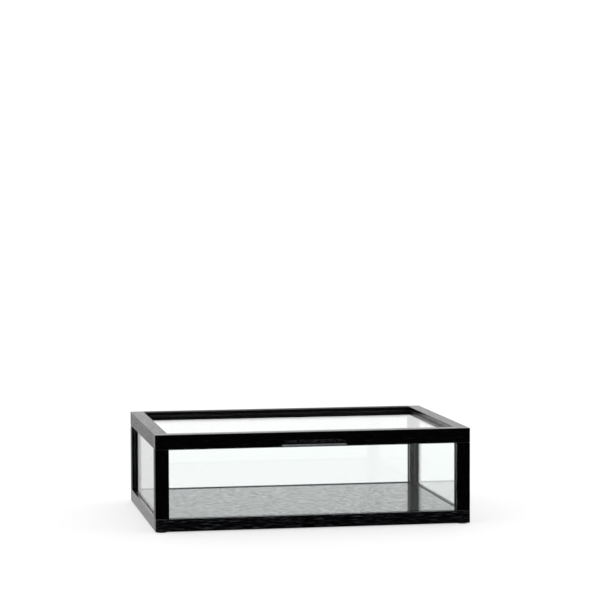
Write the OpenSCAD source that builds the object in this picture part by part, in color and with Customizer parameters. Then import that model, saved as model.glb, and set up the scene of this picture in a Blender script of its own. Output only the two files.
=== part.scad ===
// Glazed shadow box: a low display case of dark wood bars and glass panes.
// The top frame with its glass is a lid, hinged at the back.
// The box stands on z = 0, centred on x = 0 and y = 0, with its front facing -Y.

/* [Case] */
// Width of the box, left to right
box_w = 350; // [220:1:600]
// Depth of the box, front to back
box_d = 250; // [160:1:450]
// Width of every wooden bar, seen from above or from the front
bar_w = 15; // [14:0.5:18]
// Height of the bars under the posts
base_bar_h = 14; // [13:0.5:18]
// Height of the corner posts between the lower bars and the lid
post_h = 75.3; // [40:0.1:200]
// Thickness of the felt pads under the corners
pad_t = 1; // [0.5:0.5:3]

/* [Lid] */
// Height of the lid bars
lid_bar_h = 16; // [15:0.5:20]
// Gap between the posts and the closed lid, which stands on two bumpers
lid_gap = 0.3; // [0.2:0.1:0.8]
// Depth of the top glass below the top of the lid
top_recess = 4.8; // [4:0.1:5]

/* [Glazing] */
// Thickness of every glass pane
glass_t = 5; // [3:0.5:5]
// Depth of the upright panes behind the outer faces of the bars
side_recess = 3.5; // [3:0.25:4]
// Thickness of the rubber seal on each side of the glass
seal_t = 1.2; // [1:0.1:1.4]
// Depth of the glazing grooves
groove_d = 4; // [3:0.5:4.5]

/* [Finger pull] */
// Length of the finger pull along its lower edge
pull_w = 72; // [40:1:120]
// Height of the finger pull's upper end above the bottom of the lid
pull_top = 7.2; // [6:0.1:8]
// Depth of the finger pull
pull_depth = 6; // [5:0.25:6.5]
// Height of its floor above the bottom of the lid
pull_floor = 2.2; // [1.5:0.1:2.5]

/* [Base panel] */
// Thickness of the veneered base panel
panel_t = 5; // [4:0.5:6]
// Depth of the panel's face below the top of the lower bars
panel_drop = 0.6; // [0:0.1:1]

/* [Hinges] */
// Distance of the hinge axis in front of the back face
axis_in = 3; // [3:0.1:3.4]
// Angle at which the bevelled back edges stop the lid
stop_angle = 100; // [90:1:105]
// Length of each hinge along its pin
hinge_len = 12; // [10:0.5:13]
// Diameter of the hinge barrel
barrel_d = 3; // [2.6:0.1:3.2]

/* [Hidden] */
$fn = 48;

half_w = box_w / 2;
half_d = box_d / 2;
rail_top = pad_t + base_bar_h;
post_top = rail_top + post_h;
lid_bottom = post_top + lid_gap;
box_top = lid_bottom + lid_bar_h;

// Roundings of the wood
corner_r = 0.8;   // upright outer corners
edge_r = 0.6;     // outer top and bottom edges
arris_r = 0.25;   // every other edge of a bar

// Fits
slip = 0.05;      // wood to dowel, groove to seal
panel_slip = 0.1; // panel to its surroundings
run_slip = 0.3;   // moving metal to wood
over = 1;         // how far a cutter reaches past a face

// Glazing grooves, measured from the outer face of a bar
groove_w = glass_t + 2 * seal_t + 2 * slip;
groove_side = side_recess - seal_t - slip;
groove_top = top_recess - seal_t - slip;
seal_web = 1;
seal_sink = 0.2;  // the seal's lips stop this far below the wood
pane_in = bar_w - groove_d + seal_web;
pane_gap = 0.3;   // pane edges below the top of the posts

// Base panel
panel_top = rail_top - panel_drop;
ledge_z = panel_top - panel_t;
panel_edge = side_recess + glass_t + seal_t + slip + panel_slip;

// Dowels
dowel_d = 4;
dowel_half = 10;
post_dowel_d = 5;
post_dowel_down = 7;
post_dowel_up = 9;
base_dowel_z = pad_t + 4;
lid_dowel_z = lid_bottom + 10.5;
dowel_in = bar_w / 2;

// Hinges
axis_y = half_d - axis_in;
axis_z = post_top + lid_gap / 2;
bevel_angle = stop_angle / 2 + 0.6;
leaf_t = 0.6;
leaf_reach = 8;
pin_d = 1.2;
back_pane_gap = barrel_d / 2 - lid_gap / 2 + run_slip; // the back pane ends below the barrels
knuckle_gap = 0.1;
hinge_in = 1.5;   // outer face of the box to the end of the hinge
leaf_screw_y = 5;
leaf_screw_x = [2, 7];
leaf_screw_head_d = 2.4;
leaf_screw_d = 1.4;
leaf_screw_len = 6.5;

// Panel screws
panel_screw_in = (panel_edge + bar_w) / 2;
panel_screw_d = 2.4;
panel_screw_head_d = 4.6;
panel_screw_bite = 3.5;
panel_screw_len = ledge_z - pad_t + panel_screw_bite;
panel_screw_span = 0.3;   // share of the side's length from the middle to a screw

pad_d = 12;
bumper_d = 6;
bumper_in = 6;
bumper_sink = 1;  // depth of the bumpers' holes in the posts

// Finger pull
pull_edge = 0.5;  // height of the lip's front edge below its bevel
pull_bevel = 1;   // depth of the lip's bevel
pull_end_r = 5;   // upper corners, seen from the front
pull_back_r = 2;  // inner upper corner

wood_colour = [0.07, 0.07, 0.07];
seal_colour = [0.03, 0.03, 0.03];
glass_colour = [0.75, 0.88, 0.84, 0.35];
dowel_colour = [0.78, 0.62, 0.42];
brass_colour = [0.75, 0.6, 0.3];

// ---- shapes that repeat ----

// Square with rounded corners, from its lowest corner
module round_square(size, r) {
    translate([r, 0]) square([size[0] - 2 * r, size[1]]);
    translate([0, r]) square([size[0], size[1] - 2 * r]);
    for (x = [r, size[0] - r], y = [r, size[1] - r])
        translate([x, y]) circle(r);
}

// Extrusion along X of an outline drawn in Y and Z
module along_x(length) {
    rotate([90, 0, 90]) linear_extrude(length) children();
}

// Extrusion along Y of an outline drawn in X and Z
module along_y(length) {
    translate([0, length, 0]) rotate([90, 0, 0]) linear_extrude(length) children();
}

// Block with all its edges rounded, from its lowest corner
module soft_block(size, r) {
    intersection() {
        linear_extrude(size[2]) round_square([size[0], size[1]], r);
        along_x(size[0]) round_square([size[1], size[2]], r);
        along_y(size[1]) round_square([size[0], size[2]], r);
    }
}

// Outer shape of the closed box, with its rounded corners and edges
module outer_shape() {
    translate([-half_w, -half_d, pad_t]) intersection() {
        linear_extrude(box_top - pad_t) round_square([box_w, box_d], corner_r);
        along_x(box_w) round_square([box_d, box_top - pad_t], edge_r);
        along_y(box_d) round_square([box_w, box_top - pad_t], edge_r);
    }
}

// Wooden bar between two corners, shaped by the outside of the box
module bar(low, high) {
    color(wood_colour) intersection() {
        translate(low) soft_block(high - low, arris_r);
        outer_shape();
    }
}

// Copies at all four corners, from the one at the front left
module four_corners() {
    for (sx = [0, 1], sy = [0, 1])
        mirror([sx, 0, 0]) mirror([0, sy, 0]) children();
}

// Copies at the left and at the right
module both_sides() {
    children();
    mirror([1, 0, 0]) children();
}

// Countersunk screw pointing down from z = 0, with a cross recess
module screw(head_d, shank_d, length) {
    head_h = (head_d - shank_d) / 2;
    slot = [head_d * 0.6, head_d * 0.14, head_h * 0.6];
    difference() {
        union() {
            rotate_extrude() polygon([
                [0, -head_h], [shank_d / 2, -head_h], [head_d / 2, 0], [0, 0]]);
            translate([0, 0, -length + shank_d]) cylinder(h = length - shank_d, d = shank_d);
            translate([0, 0, -length]) cylinder(h = shank_d, d1 = 0.2, d2 = shank_d);
        }
        for (turn = [0, 90])
            rotate([0, 0, turn]) translate([-slot[0] / 2, -slot[1] / 2, -slot[2]])
                cube([slot[0], slot[1], slot[2] + over]);
    }
}

// Room for such a screw
module screw_hole(head_d, shank_d, length) {
    head_h = (head_d - shank_d) / 2;
    rotate_extrude() polygon([
        [0, -head_h - slip], [shank_d / 2 + slip, -head_h - slip],
        [head_d / 2 + slip, 0], [head_d / 2 + slip, over], [0, over]]);
    translate([0, 0, -length - slip]) cylinder(h = length, d = shank_d + 2 * slip);
}

// ---- cutters ----

// Groove for an upright pane on the front side, with the pane's seal
module front_groove() {
    translate([-half_w + bar_w - groove_d, -half_d + groove_side, rail_top - groove_d])
        cube([box_w - 2 * (bar_w - groove_d), groove_w, post_h + groove_d + over]);
}

// The same on the left side
module left_groove() {
    translate([-half_w + groove_side, -half_d + bar_w - groove_d, rail_top - groove_d])
        cube([groove_w, box_d - 2 * (bar_w - groove_d), post_h + groove_d + over]);
}

module pane_grooves() {
    front_groove();
    mirror([0, 1, 0]) front_groove();
    left_groove();
    mirror([1, 0, 0]) left_groove();
}

// Step in the lower bars that carries the base panel
module panel_seat() {
    edge = panel_edge - panel_slip;
    translate([-half_w + edge, -half_d + edge, ledge_z])
        cube([box_w - 2 * edge, box_d - 2 * edge, base_bar_h]);
}

// Bevel of the back edges above and below the hinge axis
module back_bevel() {
    reach = 3 * axis_in;
    rise = reach * tan(bevel_angle);
    translate([-half_w - over, axis_y, axis_z]) along_x(box_w + 2 * over)
        polygon([[0, 0], [reach, -rise], [reach, rise]]);
}

// Room for the hinge barrel
module barrel_room() {
    translate([-half_w + hinge_in - run_slip, axis_y, axis_z]) rotate([0, 90, 0])
        cylinder(h = hinge_len + 2 * run_slip, d = barrel_d + 2 * run_slip);
}

// Shallow pocket for a hinge leaf, whose outer face is at z = face and which lies below it
module leaf_pocket(face, side) {
    low = side > 0 ? face : face - leaf_t;
    translate([-half_w + hinge_in - slip, axis_y - leaf_reach - slip, low - (side > 0 ? over : 0)])
        cube([hinge_len + 2 * slip, leaf_reach + over, leaf_t + over]);
}

module leaf_screw_places() {
    for (x = leaf_screw_x)
        translate([-half_w + hinge_in + x, axis_y - leaf_screw_y, 0]) children();
}

module case_hinge_room() {
    both_sides() {
        barrel_room();
        leaf_pocket(post_top, -1);
        leaf_screw_places() translate([0, 0, post_top])
            screw_hole(leaf_screw_head_d, leaf_screw_d, leaf_screw_len);
    }
}

module lid_hinge_room() {
    both_sides() {
        barrel_room();
        leaf_pocket(lid_bottom, 1);
        leaf_screw_places() translate([0, 0, lid_bottom]) mirror([0, 0, 1])
            screw_hole(leaf_screw_head_d, leaf_screw_d, leaf_screw_len);
    }
}

// Dowels through the corner joints of a frame, or the holes for them
module frame_dowels(z, extra) {
    both_sides() {
        translate([-half_w + dowel_in, -half_d + bar_w - dowel_half - extra, z])
            rotate([-90, 0, 0]) cylinder(h = 2 * dowel_half + 2 * extra, d = dowel_d + 2 * extra);
        translate([-half_w + bar_w - dowel_half - extra, half_d - dowel_in, z])
            rotate([0, 90, 0]) cylinder(h = 2 * dowel_half + 2 * extra, d = dowel_d + 2 * extra);
    }
}

// Dowels between the posts and the lower frame, or the holes for them
module upright_dowels(extra) {
    four_corners()
        translate([-half_w + dowel_in, -half_d + dowel_in, rail_top - post_dowel_down - extra])
            cylinder(h = post_dowel_down + post_dowel_up + 2 * extra, d = post_dowel_d + 2 * extra);
}

// Hole in the top of the front left post for its bumper
module bumper_hole() {
    translate([-half_w + bumper_in, -half_d + bumper_in, post_top - bumper_sink - slip])
        cylinder(h = bumper_sink + over, d = bumper_d + 2 * slip);
}

module panel_screw_places() {
    for (s = [-1, 1]) {
        translate([s * box_w * panel_screw_span, 0, pad_t]) {
            translate([0, -half_d + panel_screw_in, 0]) children();
            translate([0, half_d - panel_screw_in, 0]) children();
        }
        translate([0, s * box_d * panel_screw_span, pad_t]) {
            translate([-half_w + panel_screw_in, 0, 0]) children();
            translate([half_w - panel_screw_in, 0, 0]) children();
        }
    }
}

module panel_screw_holes() {
    panel_screw_places() mirror([0, 0, 1])
        screw_hole(panel_screw_head_d, panel_screw_d, panel_screw_len);
}

// Outline of the finger pull seen from the front, above the bottom of the lid
module pull_outline() {
    straight = pull_w - 2 * pull_end_r;
    translate([-pull_w / 2, 0]) square([pull_w, pull_top - pull_end_r]);
    translate([-straight / 2, 0]) square([straight, pull_top]);
    for (x = [-straight / 2, straight / 2])
        translate([x, pull_top - pull_end_r]) circle(pull_end_r);
}

// Section of the finger pull from front to back, with a bevel on its lip
module pull_section() {
    slope = (pull_floor - pull_edge) / pull_bevel;
    polygon([
        [-over, pull_edge - over * slope], [pull_bevel, pull_floor], [pull_depth, pull_floor],
        [pull_depth, pull_top - pull_back_r], [pull_depth - pull_back_r, pull_top],
        [-over, pull_top]]);
    translate([pull_depth - pull_back_r, pull_top - pull_back_r]) circle(pull_back_r);
}

module finger_pull_cutter() {
    translate([0, -half_d, lid_bottom]) intersection() {
        translate([0, -over, 0]) along_y(pull_depth + over) pull_outline();
        translate([-pull_w / 2, 0, 0]) along_x(pull_w) pull_section();
    }
}

// ---- lower frame ----

module base_bar(low, high) {
    difference() {
        bar(low, high);
        pane_grooves();
        panel_seat();
        frame_dowels(base_dowel_z, slip);
        upright_dowels(slip);
        panel_screw_holes();
    }
}

module bottom_front_rail() {
    base_bar([-half_w, -half_d, pad_t], [half_w, -half_d + bar_w, rail_top]);
}

module bottom_back_rail() {
    base_bar([-half_w + bar_w, half_d - bar_w, pad_t], [half_w - bar_w, half_d, rail_top]);
}

module bottom_left_rail() {
    base_bar([-half_w, -half_d + bar_w, pad_t], [-half_w + bar_w, half_d, rail_top]);
}

module bottom_right_rail() {
    mirror([1, 0, 0]) bottom_left_rail();
}

// ---- posts ----

module front_left_post() {
    difference() {
        bar([-half_w, -half_d, rail_top], [-half_w + bar_w, -half_d + bar_w, post_top]);
        pane_grooves();
        upright_dowels(slip);
        bumper_hole();
    }
}

module front_right_post() {
    mirror([1, 0, 0]) front_left_post();
}

module back_left_post() {
    difference() {
        bar([-half_w, half_d - bar_w, rail_top], [-half_w + bar_w, half_d, post_top]);
        pane_grooves();
        upright_dowels(slip);
        back_bevel();
        case_hinge_room();
    }
}

module back_right_post() {
    mirror([1, 0, 0]) back_left_post();
}

// ---- base panel and fasteners ----

module base_panel() {
    notch = bar_w + panel_slip;
    color([0.16, 0.16, 0.17]) difference() {
        translate([-half_w + panel_edge, -half_d + panel_edge, ledge_z])
            cube([box_w - 2 * panel_edge, box_d - 2 * panel_edge, panel_t]);
        four_corners() translate([-half_w, -half_d, 0])
            cube([notch, notch, box_top]);
        panel_screw_holes();
    }
}

module base_panel_screws() {
    color("dimgray") panel_screw_places() mirror([0, 0, 1])
        screw(panel_screw_head_d, panel_screw_d, panel_screw_len);
}

module base_corner_dowels() {
    color(dowel_colour) frame_dowels(base_dowel_z, 0);
}

module post_dowels() {
    color(dowel_colour) upright_dowels(0);
}

module foot_pads() {
    color("dimgray") four_corners()
        translate([-half_w + dowel_in, -half_d + dowel_in, 0]) cylinder(h = pad_t, d = pad_d);
}

module lid_bumpers() {
    color([0.2, 0.2, 0.2]) both_sides()
        translate([-half_w + bumper_in, -half_d + bumper_in, post_top - bumper_sink])
            cylinder(h = bumper_sink + lid_gap, d = bumper_d);
}

// ---- upright panes and seals ----

// Pane seen from the front, standing in its grooves; drop is its edge below the posts' tops
module upright_pane(width, drop, recess_from) {
    pane_low = rail_top - groove_d + seal_web;
    translate([-width / 2 + pane_in, recess_from, pane_low])
        cube([width - 2 * pane_in, glass_t, post_top - drop - pane_low]);
}

// U-shaped seal round such a pane, open at the top
module upright_seal(width, drop, recess_from) {
    seal_out = bar_w - groove_d + slip;
    seal_low = rail_top - groove_d + slip;
    opening = bar_w - seal_sink;
    color(seal_colour) difference() {
        translate([-width / 2 + seal_out, recess_from - seal_t, seal_low])
            cube([width - 2 * seal_out, glass_t + 2 * seal_t, post_top - drop - seal_low]);
        translate([-width / 2 + opening, recess_from - seal_t - over, rail_top - seal_sink])
            cube([width - 2 * opening, glass_t + 2 * seal_t + 2 * over, post_h + over]);
        upright_pane(width, drop - over, recess_from);
    }
}

module front_glass() {
    color(glass_colour) upright_pane(box_w, pane_gap, -half_d + side_recess);
}

module back_glass() {
    color(glass_colour) mirror([0, 1, 0])
        upright_pane(box_w, back_pane_gap, -half_d + side_recess);
}

module left_glass() {
    color(glass_colour) rotate([0, 0, -90])
        upright_pane(box_d, pane_gap, -half_w + side_recess);
}

module right_glass() {
    mirror([1, 0, 0]) left_glass();
}

module front_glass_seal() {
    upright_seal(box_w, pane_gap, -half_d + side_recess);
}

module back_glass_seal() {
    mirror([0, 1, 0]) upright_seal(box_w, back_pane_gap, -half_d + side_recess);
}

module left_glass_seal() {
    rotate([0, 0, -90]) upright_seal(box_d, pane_gap, -half_w + side_recess);
}

module right_glass_seal() {
    mirror([1, 0, 0]) left_glass_seal();
}

// ---- hinges ----

// Knuckle number i of three, from the outer end of the left hinge
module knuckle(i, bore) {
    length = (hinge_len - 2 * knuckle_gap) / 3;
    translate([-half_w + hinge_in + i * (length + knuckle_gap), axis_y, axis_z])
        rotate([0, 90, 0]) difference() {
            cylinder(h = length, d = barrel_d);
            translate([0, 0, -over]) cylinder(h = length + 2 * over, d = bore);
        }
}

// Clear space round the other leaf's knuckle
module knuckle_room(i) {
    length = (hinge_len - 2 * knuckle_gap) / 3;
    translate([-half_w + hinge_in + i * (length + knuckle_gap) - knuckle_gap, axis_y, axis_z])
        rotate([0, 90, 0]) cylinder(h = length + 2 * knuckle_gap, d = barrel_d + 0.2);
}

// Flat of a leaf between two heights
module leaf_plate(low) {
    translate([-half_w + hinge_in, axis_y - leaf_reach, low])
        cube([hinge_len, leaf_reach, leaf_t]);
}

module left_hinge_case_leaf() {
    color(brass_colour) {
        difference() {
            leaf_plate(post_top - leaf_t);
            knuckle_room(1);
            translate([-half_w, axis_y, axis_z]) rotate([0, 90, 0])
                cylinder(h = bar_w, d = pin_d + slip);
            leaf_screw_places() translate([0, 0, post_top])
                screw_hole(leaf_screw_head_d, leaf_screw_d, leaf_screw_len);
        }
        knuckle(0, pin_d + slip);
        knuckle(2, pin_d + slip);
    }
}

module right_hinge_case_leaf() {
    mirror([1, 0, 0]) left_hinge_case_leaf();
}

module left_hinge_lid_leaf() {
    color(brass_colour) {
        difference() {
            leaf_plate(lid_bottom);
            knuckle_room(0);
            knuckle_room(2);
            translate([-half_w, axis_y, axis_z]) rotate([0, 90, 0])
                cylinder(h = bar_w, d = pin_d + 4 * slip);
            leaf_screw_places() translate([0, 0, lid_bottom]) mirror([0, 0, 1])
                screw_hole(leaf_screw_head_d, leaf_screw_d, leaf_screw_len);
        }
        knuckle(1, pin_d + 4 * slip);
    }
}

module right_hinge_lid_leaf() {
    mirror([1, 0, 0]) left_hinge_lid_leaf();
}

module left_hinge_pin() {
    color("silver") translate([-half_w + hinge_in, axis_y, axis_z])
        rotate([0, 90, 0]) cylinder(h = hinge_len, d = pin_d);
}

module right_hinge_pin() {
    mirror([1, 0, 0]) left_hinge_pin();
}

module hinge_case_screws() {
    color(brass_colour) both_sides() leaf_screw_places() translate([0, 0, post_top])
        screw(leaf_screw_head_d, leaf_screw_d, leaf_screw_len);
}

module hinge_lid_screws() {
    color(brass_colour) both_sides() leaf_screw_places() translate([0, 0, lid_bottom])
        mirror([0, 0, 1]) screw(leaf_screw_head_d, leaf_screw_d, leaf_screw_len);
}

// ---- lid ----

// Groove round the inside of the lid for the top pane and its seal
module top_groove() {
    edge = bar_w - groove_d;
    translate([-half_w + edge, -half_d + edge, box_top - groove_top - groove_w])
        cube([box_w - 2 * edge, box_d - 2 * edge, groove_w]);
}

module lid_bar(low, high) {
    difference() {
        bar(low, high);
        top_groove();
        frame_dowels(lid_dowel_z, slip);
        back_bevel();
        lid_hinge_room();
    }
}

module lid_front_rail() {
    difference() {
        lid_bar([-half_w, -half_d, lid_bottom], [half_w, -half_d + bar_w, box_top]);
        finger_pull_cutter();
    }
}

module lid_back_rail() {
    lid_bar([-half_w + bar_w, half_d - bar_w, lid_bottom], [half_w - bar_w, half_d, box_top]);
}

module lid_left_rail() {
    lid_bar([-half_w, -half_d + bar_w, lid_bottom], [-half_w + bar_w, half_d, box_top]);
}

module lid_right_rail() {
    mirror([1, 0, 0]) lid_left_rail();
}

module top_pane() {
    translate([-half_w + pane_in, -half_d + pane_in, box_top - top_recess - glass_t])
        cube([box_w - 2 * pane_in, box_d - 2 * pane_in, glass_t]);
}

module top_glass() {
    color(glass_colour) top_pane();
}

module top_glass_seal() {
    seal_out = bar_w - groove_d + slip;
    opening = bar_w - seal_sink;
    seal_low = box_top - top_recess - glass_t - seal_t;
    seal_h = glass_t + 2 * seal_t;
    color(seal_colour) difference() {
        translate([-half_w + seal_out, -half_d + seal_out, seal_low])
            cube([box_w - 2 * seal_out, box_d - 2 * seal_out, seal_h]);
        translate([-half_w + opening, -half_d + opening, seal_low - over])
            cube([box_w - 2 * opening, box_d - 2 * opening, seal_h + 2 * over]);
        top_pane();
    }
}

module lid_corner_dowels() {
    color(dowel_colour) frame_dowels(lid_dowel_z, 0);
}

bottom_front_rail();
bottom_back_rail();
bottom_left_rail();
bottom_right_rail();
front_left_post();
front_right_post();
back_left_post();
back_right_post();
base_panel();
base_panel_screws();
front_glass();
back_glass();
left_glass();
right_glass();
front_glass_seal();
back_glass_seal();
left_glass_seal();
right_glass_seal();
base_corner_dowels();
post_dowels();
foot_pads();
lid_bumpers();
left_hinge_case_leaf();
right_hinge_case_leaf();
left_hinge_pin();
right_hinge_pin();
hinge_case_screws();
lid_front_rail();
lid_back_rail();
lid_left_rail();
lid_right_rail();
top_glass();
top_glass_seal();
lid_corner_dowels();
left_hinge_lid_leaf();
right_hinge_lid_leaf();
hinge_lid_screws();
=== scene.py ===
"""Finish, glazing and fittings of a low glazed shadow box, built round its CAD frame."""

import math

import bmesh
import bpy
from bpy.props import (
    FloatProperty,
    FloatVectorProperty,
    IntProperty,
    PointerProperty,
)
from mathutils import Matrix, Vector


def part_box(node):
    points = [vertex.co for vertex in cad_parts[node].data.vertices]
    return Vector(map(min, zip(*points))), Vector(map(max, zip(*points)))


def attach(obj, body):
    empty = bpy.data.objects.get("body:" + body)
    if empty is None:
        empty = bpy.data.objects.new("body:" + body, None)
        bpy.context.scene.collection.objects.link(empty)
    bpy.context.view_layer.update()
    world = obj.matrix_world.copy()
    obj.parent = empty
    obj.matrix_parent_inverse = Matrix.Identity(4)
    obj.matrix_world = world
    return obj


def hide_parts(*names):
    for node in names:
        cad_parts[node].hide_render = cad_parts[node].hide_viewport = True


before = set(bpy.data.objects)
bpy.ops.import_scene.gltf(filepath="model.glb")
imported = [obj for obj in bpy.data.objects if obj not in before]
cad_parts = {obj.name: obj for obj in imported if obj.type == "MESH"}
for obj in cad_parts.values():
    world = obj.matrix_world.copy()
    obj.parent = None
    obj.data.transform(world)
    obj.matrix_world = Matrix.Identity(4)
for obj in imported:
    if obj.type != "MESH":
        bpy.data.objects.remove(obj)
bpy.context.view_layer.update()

bl_info = {
    "name": "Glazed shadow box",
    "version": (1, 0, 0),
    "blender": (4, 5, 0),
    "location": "3D View > Sidebar > Shadow Box",
    "description": "Wood, glass and fittings of a low display case with a hinged glazed lid",
    "category": "Object",
}

CASE = "case"
LID = "lid"
ALONG_X = 0
ALONG_Y = 1
ALONG_Z = 2

BASE_FRONT_AND_BACK = ("bottom_front_rail", "bottom_back_rail")
BASE_SIDES = ("bottom_left_rail", "bottom_right_rail")
LID_SIDES = ("lid_left_rail", "lid_right_rail")
POSTS = ("front_left_post", "front_right_post", "back_left_post", "back_right_post")
SEALS = (
    "front_glass_seal", "back_glass_seal", "left_glass_seal", "right_glass_seal",
    "top_glass_seal",
)
DOWELS = ("base_corner_dowels", "post_dowels", "lid_corner_dowels")
HINGE_LEAVES = (
    "left_hinge_case_leaf", "right_hinge_case_leaf",
    "left_hinge_lid_leaf", "right_hinge_lid_leaf",
)
HINGE_SCREWS = ("hinge_case_screws", "hinge_lid_screws")
HINGE_PINS = ("left_hinge_pin", "right_hinge_pin")
SIDE_PANES = ("left_glass", "right_glass")
FLOOR_TONES = ((0.43, 0.43, 0.43), (0.45, 0.45, 0.45))
# Heights of the room's light zones, from 0 straight down to 1 straight up
LOW_END = 0.47
LEVEL_START = 0.51
LEVEL_END = 0.6
OVERHEAD_START = 0.72
SOFTBOX_START = 0.84
SOFTBOX_END = 0.88
# Edges of the zones in front of the box, as the Y part of a direction
DARK_FULL = -0.8
DARK_NONE = -0.62
SOFTBOX_FULL = -0.35
SOFTBOX_NONE = -0.2

PANES = (
    ("front_glass", CASE), ("back_glass", CASE), ("left_glass", CASE),
    ("right_glass", CASE), ("top_glass", LID),
)


# ---- sizes and colours a user would change ----

class WoodSettings(bpy.types.PropertyGroup):
    stain: FloatVectorProperty(
        name="Stain", description="Colour of the stained wood between its pores",
        default=(0.0005, 0.0005, 0.0007), subtype="COLOR", min=0, max=1)
    fibre: FloatVectorProperty(
        name="Light fibres", description="Colour of the harder fibres that take less stain",
        default=(0.0045, 0.0045, 0.005), subtype="COLOR", min=0, max=1)
    # Painted light: a lighter colour inside the finger pull that stands in for light falling
    # into the recess, not for thinner stain.
    pull_light_colour: FloatVectorProperty(
        name="Sanded", description="Colour of the thin stain inside the finger pull",
        default=(0.05, 0.05, 0.06), subtype="COLOR", min=0, max=1)
    # Partly real grain and partly painted sheen: the fibres of the lower front and back rails
    # are much lighter than elsewhere, standing in for floor light catching their grain.
    grain_with_floor_sheen: FloatVectorProperty(
        name="Bold fibre", description="Colour of the fibres of the lower front and back rails",
        default=(0.055, 0.058, 0.07), subtype="COLOR", min=0, max=1)
    bar_gloss: FloatProperty(
        name="Bar roughness", description="Roughness of the satin lacquer on the bars",
        default=0.2, min=0.05, max=1, subtype="FACTOR")
    panel_gloss: FloatProperty(
        name="Panel roughness", description="Roughness under the lacquer of the base panel",
        default=0.3, min=0.02, max=1, subtype="FACTOR")
    coat_gloss: FloatProperty(
        name="Coat roughness", description="Roughness of the lacquer over the base panel",
        default=0.03, min=0, max=1, subtype="FACTOR")
    fleck_width: FloatProperty(
        name="Fleck width", description="Width of a grain fleck across the fibres",
        default=0.0009, min=0.0002, max=0.005, unit="LENGTH", precision=4)
    fleck_length: FloatProperty(
        name="Fleck length", description="Length of a grain fleck along the fibres",
        default=0.014, min=0.001, max=0.05, unit="LENGTH", precision=4)
    # pull_width, pull_skin, pull_depth, pull_floor and pull_height bound the painted light
    # inside the finger pull, not wear.
    pull_width: FloatProperty(
        name="Pull width", description="Width of the worn stain in the finger pull",
        default=0.073, min=0.04, max=0.12, unit="LENGTH", precision=4)
    pull_skin: FloatProperty(
        name="Pull skin", description="Depth behind the front face where the wear starts",
        default=0.0003, min=0, max=0.002, unit="LENGTH", precision=4)
    pull_depth: FloatProperty(
        name="Pull depth", description="Depth behind the front face where the wear ends",
        default=0.0065, min=0.003, max=0.01, unit="LENGTH", precision=4)
    pull_floor: FloatProperty(
        name="Pull floor", description="Height over the rail's underside where the wear starts",
        default=0.002, min=0, max=0.004, unit="LENGTH", precision=4)
    pull_height: FloatProperty(
        name="Pull height", description="Height over the rail's underside where the wear ends",
        default=0.0074, min=0.004, max=0.01, unit="LENGTH", precision=4)
    figure_width: FloatProperty(
        name="Figure width", description="Width of the patches in the panel's lacquer",
        default=0.0045, min=0.001, max=0.02, unit="LENGTH", precision=4)
    figure_length: FloatProperty(
        name="Figure length", description="Length of the patches in the panel's lacquer",
        default=0.007, min=0.001, max=0.05, unit="LENGTH", precision=4)


class GlassSettings(bpy.types.PropertyGroup):
    tint: FloatVectorProperty(
        name="Tint", description="Colour of the glass seen through its face",
        default=(0.968, 0.99, 0.985), subtype="COLOR", min=0, max=1)
    # Painted light: the left and right panes get a slightly lighter tint than the other panes,
    # which are the same glass.
    side_pane_light_tint: FloatVectorProperty(
        name="Side tint", description="Tint of the left and right panes, seen at a low angle",
        default=(0.972, 0.993, 0.986), subtype="COLOR", min=0, max=1)
    edge_tint: FloatVectorProperty(
        name="Edge tint", description="Green of the glass near its edges",
        default=(0.62, 0.86, 0.76), subtype="COLOR", min=0, max=1)
    edge_band: FloatProperty(
        name="Edge band", description="Width of the green band along a pane's edges",
        default=0.0006, min=0.0001, max=0.005, unit="LENGTH", precision=4)
    arris: FloatProperty(
        name="Arris", description="Width of the polished bevel round a pane's faces",
        default=0.0004, min=0.0001, max=0.002, unit="LENGTH", precision=4)


class FittingSettings(bpy.types.PropertyGroup):
    brass: FloatVectorProperty(
        name="Brass", description="Colour of the hinges and their screws",
        default=(0.46, 0.31, 0.13), subtype="COLOR", min=0, max=1)
    steel: FloatVectorProperty(
        name="Steel", description="Colour of the panel screws and hinge pins",
        default=(0.5, 0.5, 0.51), subtype="COLOR", min=0, max=1)
    felt: FloatVectorProperty(
        name="Felt", description="Colour of the pads under the corners",
        default=(0.035, 0.035, 0.038), subtype="COLOR", min=0, max=1)
    seal: FloatVectorProperty(
        name="Seal", description="Colour of the glazing seals",
        default=(0.01, 0.01, 0.01), subtype="COLOR", min=0, max=1)
    bumper: FloatVectorProperty(
        name="Bumper", description="Colour of the rubber dots under the lid",
        default=(0.02, 0.02, 0.02), subtype="COLOR", min=0, max=1)
    beech: FloatVectorProperty(
        name="Beech", description="Colour of the dowels",
        default=(0.55, 0.38, 0.2), subtype="COLOR", min=0, max=1)
    pad_radius: FloatProperty(
        name="Pad radius", description="Radius of the felt pads",
        default=0.006, min=0.003, max=0.007, unit="LENGTH", precision=4)
    bumper_edge: FloatProperty(
        name="Bumper edge", description="Rounding of the bumpers' edges",
        default=0.0002, min=0.0001, max=0.0003, unit="LENGTH", precision=4)
    pad_edge: FloatProperty(
        name="Pad edge", description="Rounding of the felt pads' edges",
        default=0.0004, min=0.0001, max=0.0005, unit="LENGTH", precision=4)
    round_steps: IntProperty(
        name="Round steps", description="Flat faces round a pad or bumper",
        default=48, min=12, max=96)


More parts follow.
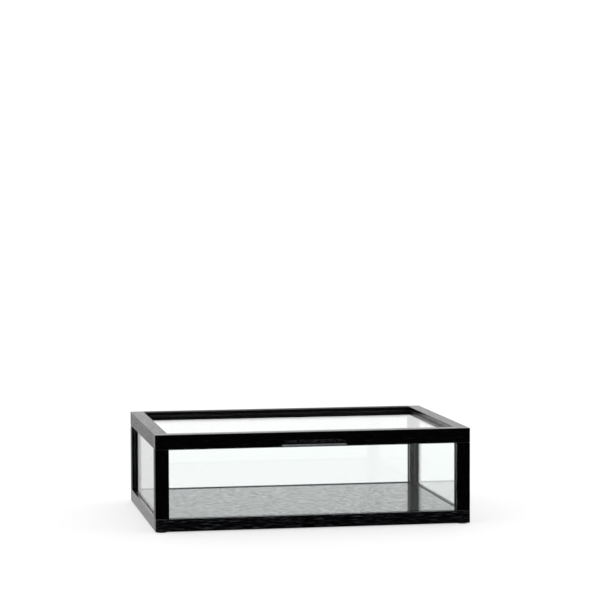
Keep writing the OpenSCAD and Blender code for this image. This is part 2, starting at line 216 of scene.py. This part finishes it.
class StudioSettings(bpy.types.PropertyGroup):
    camera_place: FloatVectorProperty(
        name="Camera", description="Where the camera stands",
        default=(-0.46563, -2.63298, 0.39618), subtype="TRANSLATION", unit="LENGTH")
    camera_turn: FloatVectorProperty(
        name="Camera turn", description="How the camera is turned",
        default=tuple(math.radians(a) for a in (86.73141, 0.18588, -10.18455)),
        subtype="EULER", unit="ROTATION")
    lens: FloatProperty(
        name="Lens", description="Focal length of the camera on a 36 mm sensor",
        default=140.872, min=10, max=400, unit="CAMERA")
    floor_size: FloatProperty(
        name="Floor", description="Side of the square floor",
        default=24, min=2, max=60, unit="LENGTH")
    floor_glow: FloatProperty(
        name="Floor glow", description="Light that the floor gives off by itself",
        default=0.57, min=0, max=2)
    room: FloatProperty(
        name="Room", description="Strength of the white room behind the box",
        default=1.06, min=0, max=10)
    overhead: FloatProperty(
        name="Overhead light", description="Strength of the soft light above the box",
        default=1.1, min=0, max=10)
    level: FloatProperty(
        name="Level light", description="Strength of the soft light just above eye level",
        default=1.0, min=0, max=10)
    low: FloatProperty(
        name="Low light", description="Strength of the soft light from near the floor",
        default=0.58, min=0, max=10)
    softbox: FloatProperty(
        name="Softbox", description="Extra strength of the softbox mirrored in edges and glass",
        default=3.0, min=0, max=20)
    dark_front: FloatProperty(
        name="Dark side", description="Strength of the dark wall in front of the box",
        default=0.01, min=0, max=10)


SETTINGS = {
    "shadow_box_wood": WoodSettings,
    "shadow_box_glass": GlassSettings,
    "shadow_box_fittings": FittingSettings,
    "shadow_box_studio": StudioSettings,
}


# ---- materials ----

def new_material(name):
    """A fresh material and its node tree, with only the surface shader and the output."""
    material = bpy.data.materials.new(name)
    material.use_nodes = True
    tree = material.node_tree
    tree.nodes.clear()
    output = tree.nodes.new("ShaderNodeOutputMaterial")
    shader = tree.nodes.new("ShaderNodeBsdfPrincipled")
    tree.links.new(shader.outputs["BSDF"], output.inputs["Surface"])
    return material, tree, shader


def node(tree, kind, inputs=None, **choices):
    """A node whose inputs are numbers, or outputs of other nodes to be linked."""
    made = tree.nodes.new("ShaderNode" + kind)
    for key, value in choices.items():
        setattr(made, key, value)
    for key, value in (inputs or {}).items():
        if isinstance(value, bpy.types.NodeSocket):
            tree.links.new(value, made.inputs[key])
        else:
            made.inputs[key].default_value = value
    return made


def feed(tree, shader, **links):
    """Links or sets the shader's sockets, with _ for the spaces in their names."""
    for key, value in links.items():
        socket = shader.inputs[key.replace("_", " ")]
        if isinstance(value, bpy.types.NodeSocket):
            tree.links.new(value, socket)
        else:
            socket.default_value = value


def ramp(tree, factor, low, high, colour_low, colour_high):
    """Colour that changes from colour_low to colour_high between two values of a factor."""
    made = node(tree, "ValToRGB", {"Fac": factor})
    stops = made.color_ramp.elements
    stops[0].position, stops[1].position = low, high
    stops[0].color = (*colour_low, 1)
    stops[1].color = (*colour_high, 1)
    return made.outputs["Color"]


def remap(tree, value, low, high, to_low, to_high, **choices):
    """A value moved from one range to another, and held within the second."""
    made = node(tree, "MapRange", {
        "Value": value, "From Min": low, "From Max": high, "To Min": to_low, "To Max": to_high},
        **choices)
    return made.outputs["Result"]


def calculate(tree, operation, first, second=0):
    """One step of arithmetic, such as ADD or MULTIPLY, on two values."""
    return node(tree, "Math", {0: first, 1: second}, operation=operation).outputs["Value"]


def object_axes(tree):
    """The X, Y and Z parts of the Object coordinates."""
    place = node(tree, "TexCoord").outputs["Object"]
    return node(tree, "SeparateXYZ", {"Vector": place}).outputs


def stretched(tree, grain, width, length, shift=(0, 0, 0)):
    """Object coordinates counted in feature widths, drawn out along the grain."""
    place = node(tree, "TexCoord").outputs["Object"]
    scale = [1 / width] * 3
    scale[grain] = 1 / length
    return node(tree, "Mapping", {
        "Vector": place, "Scale": scale, "Location": shift}).outputs["Vector"]


def noise(tree, place, detail=2, roughness=0.5, distortion=0):
    """Cloudy noise with features about one unit of the given coordinates wide."""
    return node(tree, "TexNoise", {
        "Vector": place, "Scale": 1, "Detail": detail, "Roughness": roughness,
        "Distortion": distortion}).outputs["Fac"]


def bump(tree, height, strength, distance):
    """Relief of a given height in metres."""
    return node(tree, "Bump", {
        "Height": height, "Strength": strength, "Distance": distance}).outputs["Normal"]


def grey(value):
    """A neutral colour for a socket or a ramp."""
    return (value, value, value, 1)


def blend_colours(tree, factor, first, second):
    """Colour between two colours, the second where the factor is 1."""
    made = node(tree, "Mix", data_type="RGBA")
    sockets = {socket.identifier: socket for socket in made.inputs}
    for key, value in (
            ("Factor_Float", factor), ("A_Color", first), ("B_Color", second)):
        if isinstance(value, bpy.types.NodeSocket):
            tree.links.new(value, sockets[key])
        else:
            sockets[key].default_value = value
    return {socket.identifier: socket for socket in made.outputs}["Result_Color"]


def finger_pull_mask(tree, wood):
    """1 inside the finger pull and 0 on the rest of the lid's front rail."""
    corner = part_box("lid_front_rail")[0]
    bounds = (
        (-wood.pull_width / 2, wood.pull_width / 2),
        (corner.y + wood.pull_skin, corner.y + wood.pull_depth),
        (corner.z + wood.pull_floor, corner.z + wood.pull_height),
    )
    parts = object_axes(tree)
    mask = 1
    for axis, (low, high) in enumerate(bounds):
        for side, limit in (("GREATER_THAN", low), ("LESS_THAN", high)):
            mask = calculate(tree, "MULTIPLY", calculate(tree, side, parts[axis], limit), mask)
    return mask


def oak_colour(tree, grain, wood, fibre, flecks, pores):
    """Stain that light fibres and broad rings break up, nearly black in the pores."""
    rings = noise(tree, stretched(
        tree, grain, wood.fleck_width * 7, wood.fleck_length * 14, shift=(5, 1, 2)),
        distortion=0.6)
    fibres = remap(tree, flecks, 0.5, 0.72, 0, 1)
    body = ramp(tree, fibres, 0, 1, wood.stain, fibre)
    banded = blend_colours(
        tree, remap(tree, rings, 0.42, 0.62, 0, 0.6), body, (*wood.stain, 1))
    pore_stain = (*(part * 0.35 for part in wood.stain), 1)
    return blend_colours(tree, pores, banded, pore_stain)


def painted_pull_light(tree, grain, wood, around):
    """Colour of the front lid rail, with painted light in lighter patches inside its finger
    pull.
    """
    patches = noise(tree, stretched(tree, grain, 0.0012, 0.003, shift=(6, 6, 2)))
    # Lighter patches inside the finger pull: painted light.
    brightened = ramp(tree, remap(tree, patches, 0.4, 0.6, 0, 1), 0, 1, wood.stain, wood.pull_light_colour)
    return blend_colours(tree, finger_pull_mask(tree, wood), around, brightened)


def lacquer(tree, shader, grain, wood, flecks):
    """Glossy coat of uneven thickness, in patches drawn out along the grain."""
    figure = noise(tree, stretched(
        tree, grain, wood.figure_width, wood.figure_length, shift=(8, 3, 1)), roughness=0.6)
    feed(tree, shader, Coat_Weight=remap(tree, figure, 0.4, 0.6, 0.72, 1),
         Coat_Roughness=wood.coat_gloss, Coat_IOR=1.62,
         Coat_Normal=bump(tree, flecks, 0.18, 0.00008))


def stained_oak(name, grain, wood, gloss, fibre=None, mirror=1.45, lacquered=False,
                light_the_pull=False):
    """Black-stained open-grain oak with its fibres along one axis."""
    material, tree, shader = new_material(name)
    flecks = noise(tree, stretched(tree, grain, wood.fleck_width, wood.fleck_length),
                   detail=3, roughness=0.6)
    fine = noise(tree, stretched(
        tree, grain, wood.fleck_width * 0.3, wood.fleck_length * 0.35, shift=(3, 7, 11)),
        detail=1)
    pores = remap(tree, fine, 0.56, 0.66, 0, 1)
    colour = oak_colour(tree, grain, wood, fibre or wood.fibre, flecks, pores)
    # Painted light inside the finger pull of the lid's front rail.
    if light_the_pull:
        colour = painted_pull_light(tree, grain, wood, colour)
    height = calculate(tree, "ADD", flecks, calculate(tree, "MULTIPLY", pores, -0.5))
    feed(tree, shader, Base_Color=colour, IOR=mirror,
         Roughness=remap(tree, flecks, 0.35, 0.7, gloss - 0.06, gloss + 0.1),
         Normal=bump(tree, height, 0.25, 0.00012))
    if lacquered:
        lacquer(tree, shader, grain, wood, flecks)
    return material


def clear_glass(name, glass, tint, faces, pane):
    """Clear float glass that turns greener towards the pane's edges."""
    material, tree, shader = new_material(name)
    parts = object_axes(tree)
    low, high = pane
    near_edge = 0
    for axis in faces:
        centre = (low[axis] + high[axis]) / 2
        reach = high[axis] - centre
        offset = calculate(tree, "ABSOLUTE", calculate(tree, "SUBTRACT", parts[axis], centre))
        band = remap(tree, offset, reach - glass.edge_band, reach, 0, 1)
        near_edge = calculate(tree, "MAXIMUM", band, near_edge)
    waves = noise(tree, stretched(tree, ALONG_X, 0.12, 0.2), detail=1)
    feed(tree, shader, Base_Color=ramp(tree, near_edge, 0, 1, tint, glass.edge_tint),
         Roughness=0.0, IOR=1.5, Transmission_Weight=1.0,
         Normal=bump(tree, waves, 0.02, 0.001))
    return material


def speckled(name, colour, grain_size, roughness, relief, **more):
    """Plain stuff with a fine speckle in its colour, roughness and relief."""
    material, tree, shader = new_material(name)
    fine = noise(tree, stretched(tree, ALONG_X, grain_size, grain_size),
                 detail=3, roughness=0.6)
    broad = noise(tree, stretched(tree, ALONG_X, grain_size * 14, grain_size * 14))
    dark = tuple(part * 0.6 for part in colour)
    light = tuple(min(1, part * 1.45) for part in colour)
    feed(tree, shader,
         Base_Color=ramp(tree, calculate(tree, "MULTIPLY", fine, broad), 0.1, 0.45, dark, light),
         Roughness=remap(tree, fine, 0.3, 0.7, roughness - 0.08, min(1, roughness + 0.08)),
         Normal=bump(tree, fine, relief, grain_size), **more)
    return material


def drawn_metal(name, colour, stroke, roughness, grain=ALONG_X):
    """Metal with fine strokes along one axis and a patina in patches."""
    material, tree, shader = new_material(name)
    strokes = noise(tree, stretched(tree, grain, stroke, stroke * 40))
    patina = noise(tree, stretched(tree, grain, 0.0016, 0.0016, shift=(2, 9, 4)),
                   detail=4, roughness=0.65)
    dull = tuple(part * 0.45 for part in colour)
    brushed = remap(tree, strokes, 0.3, 0.7, roughness - 0.08, roughness + 0.08)
    tarnish = remap(tree, patina, 0.4, 0.6, 0.12, 0)
    feed(tree, shader, Base_Color=ramp(tree, patina, 0.38, 0.62, dull, colour), Metallic=1.0,
         Roughness=calculate(tree, "ADD", brushed, tarnish),
         Normal=bump(tree, strokes, 0.15, stroke))
    return material


def dress(nodes, material):
    """Puts a material on every slot of the named CAD nodes."""
    for name in nodes:
        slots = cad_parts[name].material_slots
        if not slots:
            raise RuntimeError(name + " has no material slot")
        for slot in slots:
            slot.material = material


# ---- new pieces ----

def finished(name, mesh, body, material, replaced):
    """Turns a bmesh into a piece that rides on a body and stands for CAD nodes."""
    bmesh.ops.recalc_face_normals(mesh, faces=mesh.faces[:])
    data = bpy.data.meshes.new(name)
    mesh.to_mesh(data)
    mesh.free()
    data.materials.append(material)
    piece = bpy.data.objects.new(name, data)
    bpy.context.scene.collection.objects.link(piece)
    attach(piece, body)
    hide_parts(*replaced)


def glass_pane(node_name, body, glass):
    """A pane in place of its CAD node, with bevelled edges all round."""
    low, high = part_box(node_name)
    size = high - low
    thin = min(range(3), key=lambda axis: size[axis])
    mesh = bmesh.new()
    bmesh.ops.create_cube(mesh, size=1, matrix=(
        Matrix.Translation((low + high) / 2) @ Matrix.Diagonal((*size, 1))))
    bmesh.ops.bevel(mesh, geom=mesh.edges[:], offset=glass.arris, affect="EDGES",
                    segments=2, profile=0.5, material=-1)
    faces = [axis for axis in range(3) if axis != thin]
    # The left and right panes get a slightly lighter tint: painted light on the same glass.
    tint = glass.side_pane_light_tint if node_name in SIDE_PANES else glass.tint
    material = clear_glass(node_name + "_clear", glass, tint, faces, (low, high))
    finished(node_name + "_pane", mesh, body, material, [node_name])


def round_pad(mesh, centre, radius, height, edge, steps):
    """Adds a disc with rounded edges whose underside is centred at a point."""
    made = bmesh.ops.create_cone(
        mesh, cap_ends=True, segments=steps, radius1=radius, radius2=radius, depth=height,
        matrix=Matrix.Translation(centre + Vector((0, 0, height / 2))))
    faces = dict.fromkeys(face for vert in made["verts"] for face in vert.link_faces)
    rims = [rim for face in faces if len(face.verts) == steps for rim in face.edges]
    bmesh.ops.bevel(mesh, geom=rims, offset=edge, affect="EDGES", segments=3,
                    profile=0.5, material=-1)


# ---- stage ----

def studio_camera(context, studio):
    """The camera that the box is pictured with."""
    lens = bpy.data.cameras.new("studio_camera")
    lens.lens = studio.lens
    lens.sensor_width = 36
    camera = bpy.data.objects.new("studio_camera", lens)
    camera.location = studio.camera_place
    camera.rotation_euler = studio.camera_turn
    context.scene.collection.objects.link(camera)
    context.scene.camera = camera
    context.scene.view_settings.view_transform = "Standard"


def pale_floor(context, studio):
    """A matt floor that glows a little, so that shadows on it stay soft."""
    mesh = bmesh.new()
    bmesh.ops.create_grid(mesh, x_segments=1, y_segments=1, size=studio.floor_size / 2)
    data = bpy.data.meshes.new("pale_floor")
    mesh.to_mesh(data)
    mesh.free()
    floor = bpy.data.objects.new("pale_floor", data)
    context.scene.collection.objects.link(floor)
    floor.visible_glossy = False
    material, tree, shader = new_material("pale_floor")
    mottle = noise(tree, stretched(tree, ALONG_X, 0.4, 0.4))
    feed(tree, shader, Base_Color=ramp(tree, mottle, 0.3, 0.7, *FLOOR_TONES),
         Roughness=0.9, Emission_Color=(1, 1, 1, 1), Emission_Strength=studio.floor_glow)
    data.materials.append(material)


def zone_light(tree, studio, side, height):
    """Light that the box mirrors: zones from low to overhead, and a dark side in front."""
    zones = node(tree, "ValToRGB", {"Fac": height})
    stops = zones.color_ramp.elements
    stops[0].position, stops[1].position = LOW_END, LEVEL_START
    stops[0].color, stops[1].color = grey(studio.low), grey(studio.level)
    for place, strength in ((LEVEL_END, studio.level), (OVERHEAD_START, studio.overhead)):
        stops.new(place).color = grey(strength)
    lit = remap(tree, side, DARK_FULL, DARK_NONE, 0, 1, interpolation_type="SMOOTHSTEP")
    return blend_colours(tree, lit, grey(studio.dark_front), zones.outputs["Color"])


def softbox_strength(tree, studio, side, height, glossy):
    """1, and more where a glossy ray meets the softbox high in front."""
    above = remap(tree, height, SOFTBOX_START, SOFTBOX_END, 0, studio.softbox)
    in_front = remap(tree, side, SOFTBOX_FULL, SOFTBOX_NONE, 1, 0)
    mirrored = calculate(tree, "MULTIPLY", calculate(tree, "MULTIPLY", above, in_front), glossy)
    return calculate(tree, "ADD", mirrored, 1)


def white_room(context, studio):
    """Plain white for the camera and through glass, zones of light for all else."""
    world = bpy.data.worlds.new("white_room")
    world.use_nodes = True
    context.scene.world = world
    tree = world.node_tree
    tree.nodes.clear()
    direction = node(tree, "TexCoord").outputs["Generated"]
    parts = node(tree, "SeparateXYZ", {"Vector": direction}).outputs
    side = parts["Y"]
    height = remap(tree, parts["Z"], -1, 1, 0, 1)
    path = node(tree, "LightPath").outputs
    bounced = node(tree, "Background", {
        "Color": zone_light(tree, studio, side, height),
        "Strength": softbox_strength(tree, studio, side, height, path["Is Glossy Ray"])})
    plain = node(tree, "Background", {"Color": grey(1), "Strength": studio.room})
    straight = calculate(tree, "MAXIMUM", path["Is Camera Ray"], path["Is Transmission Ray"])
    both = node(tree, "MixShader", {
        0: straight, 1: bounced.outputs["Background"], 2: plain.outputs["Background"]})
    node(tree, "OutputWorld", {"Surface": both.outputs["Shader"]})


# ---- operators ----

class SHADOWBOX_OT_stage(bpy.types.Operator):
    """Camera, pale floor and soft white light round the box"""

    bl_idname = "shadowbox.stage"
    bl_label = "Stage"

    def execute(self, context):
        studio = context.scene.shadow_box_studio
        studio_camera(context, studio)
        pale_floor(context, studio)
        white_room(context, studio)
        return {"FINISHED"}


class SHADOWBOX_OT_bars(bpy.types.Operator):
    """Black-stained oak on the rails of the lower frame and the lid, and on the posts"""

    bl_idname = "shadowbox.bars"
    bl_label = "Rails and posts"

    def execute(self, context):
        wood = context.scene.shadow_box_wood
        satin = wood.bar_gloss
        # The lid's front rail gets painted light inside its finger pull.
        dress(["lid_front_rail"], stained_oak(
            "oak_lid_front", ALONG_X, wood, satin, light_the_pull=True))
        # Painted shade: the lid's back rail, the lid's side rails and the posts are the same oak
        # with weaker reflections (a lower mirror IOR) than the base rails, so they read darker
        # as the light falls. The back rail and the posts are also rougher.
        dress(["lid_back_rail"], stained_oak(
            "oak_lid_back", ALONG_X, wood, satin + 0.3, mirror=1.25))
        # The lower front and back rails get much lighter fibres: real grain, lightened as
        # painted sheen from the floor light.
        dress(BASE_FRONT_AND_BACK, stained_oak(
            "oak_base_front_and_back", ALONG_X, wood, satin, wood.grain_with_floor_sheen))
        dress(LID_SIDES, stained_oak("oak_lid_sides", ALONG_Y, wood, satin, mirror=1.23))
        dress(BASE_SIDES, stained_oak("oak_base_sides", ALONG_Y, wood, satin - 0.06))
        dress(POSTS, stained_oak("oak_upright", ALONG_Z, wood, satin + 0.06, mirror=1.2))
        return {"FINISHED"}


class SHADOWBOX_OT_base_panel(bpy.types.Operator):
    """Lacquered black veneer on the base panel, with its grain left to right"""

    bl_idname = "shadowbox.base_panel"
    bl_label = "Base panel"

    def execute(self, context):
        wood = context.scene.shadow_box_wood
        veneer = stained_oak(
            "lacquered_veneer", ALONG_X, wood, wood.panel_gloss, mirror=1.05, lacquered=True)
        dress(["base_panel"], veneer)
        return {"FINISHED"}


class SHADOWBOX_OT_glass(bpy.types.Operator):
    """Five panes of clear glass with polished arrises"""

    bl_idname = "shadowbox.glass"
    bl_label = "Glass panes"

    def execute(self, context):
        for node_name, body in PANES:
            glass_pane(node_name, body, context.scene.shadow_box_glass)
        return {"FINISHED"}


class SHADOWBOX_OT_seals(bpy.types.Operator):
    """Satin black rubber on the glazing seals"""

    bl_idname = "shadowbox.seals"
    bl_label = "Glazing seals"

    def execute(self, context):
        fittings = context.scene.shadow_box_fittings
        dress(SEALS, speckled(
            "seal_rubber", fittings.seal, grain_size=0.0003, roughness=0.4, relief=0.2))
        return {"FINISHED"}


class SHADOWBOX_OT_dowels(bpy.types.Operator):
    """Plain beech on the dowels of the frames and posts"""

    bl_idname = "shadowbox.dowels"
    bl_label = "Dowels"

    def execute(self, context):
        fittings = context.scene.shadow_box_fittings
        dress(DOWELS, speckled(
            "dowel_beech", fittings.beech, grain_size=0.0005, roughness=0.6, relief=0.2))
        return {"FINISHED"}


class SHADOWBOX_OT_panel_screws(bpy.types.Operator):
    """Zinc-plated steel on the screws under the base panel"""

    bl_idname = "shadowbox.panel_screws"
    bl_label = "Panel screws"

    def execute(self, context):
        fittings = context.scene.shadow_box_fittings
        dress(["base_panel_screws"], drawn_metal(
            "screw_steel", fittings.steel, stroke=0.0001, roughness=0.3))
        return {"FINISHED"}


class SHADOWBOX_OT_hinges(bpy.types.Operator):
    """Antique brass on the hinge leaves and screws, and drawn steel on the pins"""

    bl_idname = "shadowbox.hinges"
    bl_label = "Hinges"

    def execute(self, context):
        fittings = context.scene.shadow_box_fittings
        dress(HINGE_LEAVES, drawn_metal(
            "hinge_brass", fittings.brass, stroke=0.00008, roughness=0.32))
        dress(HINGE_SCREWS, drawn_metal(
            "hinge_screw_brass", fittings.brass, stroke=0.00006, roughness=0.25, grain=ALONG_Y))
        dress(HINGE_PINS, drawn_metal(
            "pin_steel", fittings.steel, stroke=0.00005, roughness=0.22))
        return {"FINISHED"}


class SHADOWBOX_OT_foot_pads(bpy.types.Operator):
    """Felt pads with soft edges under the four corners"""

    bl_idname = "shadowbox.foot_pads"
    bl_label = "Foot pads"

    def execute(self, context):
        fittings = context.scene.shadow_box_fittings
        low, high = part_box("foot_pads")
        radius = fittings.pad_radius
        mesh = bmesh.new()
        for x in (low.x + radius, high.x - radius):
            for y in (low.y + radius, high.y - radius):
                round_pad(mesh, Vector((x, y, low.z)), radius, high.z - low.z,
                          fittings.pad_edge, fittings.round_steps)
        felt = speckled(
            "pad_felt", fittings.felt, grain_size=0.0003, roughness=0.9, relief=0.6,
            Sheen_Weight=0.5, Sheen_Roughness=0.6)
        finished("felt_pads", mesh, CASE, felt, ["foot_pads"])
        return {"FINISHED"}


class SHADOWBOX_OT_lid_bumpers(bpy.types.Operator):
    """Soft rubber dots on the front posts, which the lid lands on"""

    bl_idname = "shadowbox.lid_bumpers"
    bl_label = "Lid bumpers"

    def execute(self, context):
        fittings = context.scene.shadow_box_fittings
        low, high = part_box("lid_bumpers")
        radius = (high.y - low.y) / 2
        mesh = bmesh.new()
        for x in (low.x + radius, high.x - radius):
            round_pad(mesh, Vector((x, low.y + radius, low.z)), radius, high.z - low.z,
                      fittings.bumper_edge, fittings.round_steps)
        rubber = speckled(
            "bumper_rubber", fittings.bumper, grain_size=0.0002, roughness=0.5, relief=0.2)
        finished("rubber_dots", mesh, CASE, rubber, ["lid_bumpers"])
        return {"FINISHED"}


OPERATORS = (
    SHADOWBOX_OT_stage,
    SHADOWBOX_OT_bars,
    SHADOWBOX_OT_base_panel,
    SHADOWBOX_OT_glass,
    SHADOWBOX_OT_seals,
    SHADOWBOX_OT_dowels,
    SHADOWBOX_OT_panel_screws,
    SHADOWBOX_OT_hinges,
    SHADOWBOX_OT_foot_pads,
    SHADOWBOX_OT_lid_bumpers,
)


class SHADOWBOX_PT_sidebar(bpy.types.Panel):
    """Lists the pieces of the shadow box and their settings"""

    bl_idname = "SHADOWBOX_PT_sidebar"
    bl_label = "Shadow box"
    bl_space_type = "VIEW_3D"
    bl_region_type = "UI"
    bl_category = "Shadow Box"

    def draw(self, context):
        for operator in OPERATORS:
            self.layout.operator(operator.bl_idname)
        for name, group in SETTINGS.items():
            box = self.layout.box()
            for key in group.__annotations__:
                box.prop(getattr(context.scene, name), key)


CLASSES = (*SETTINGS.values(), *OPERATORS, SHADOWBOX_PT_sidebar)


def register():
    for made in CLASSES:
        bpy.utils.register_class(made)
    for name, group in SETTINGS.items():
        setattr(bpy.types.Scene, name, PointerProperty(type=group))


def unregister():
    for name in SETTINGS:
        delattr(bpy.types.Scene, name)
    for made in reversed(CLASSES):
        bpy.utils.unregister_class(made)


def main():
    register()
    for operator in OPERATORS:
        family, name = operator.bl_idname.split(".")
        getattr(getattr(bpy.ops, family), name)()


if __name__ == "__main__":
    main()
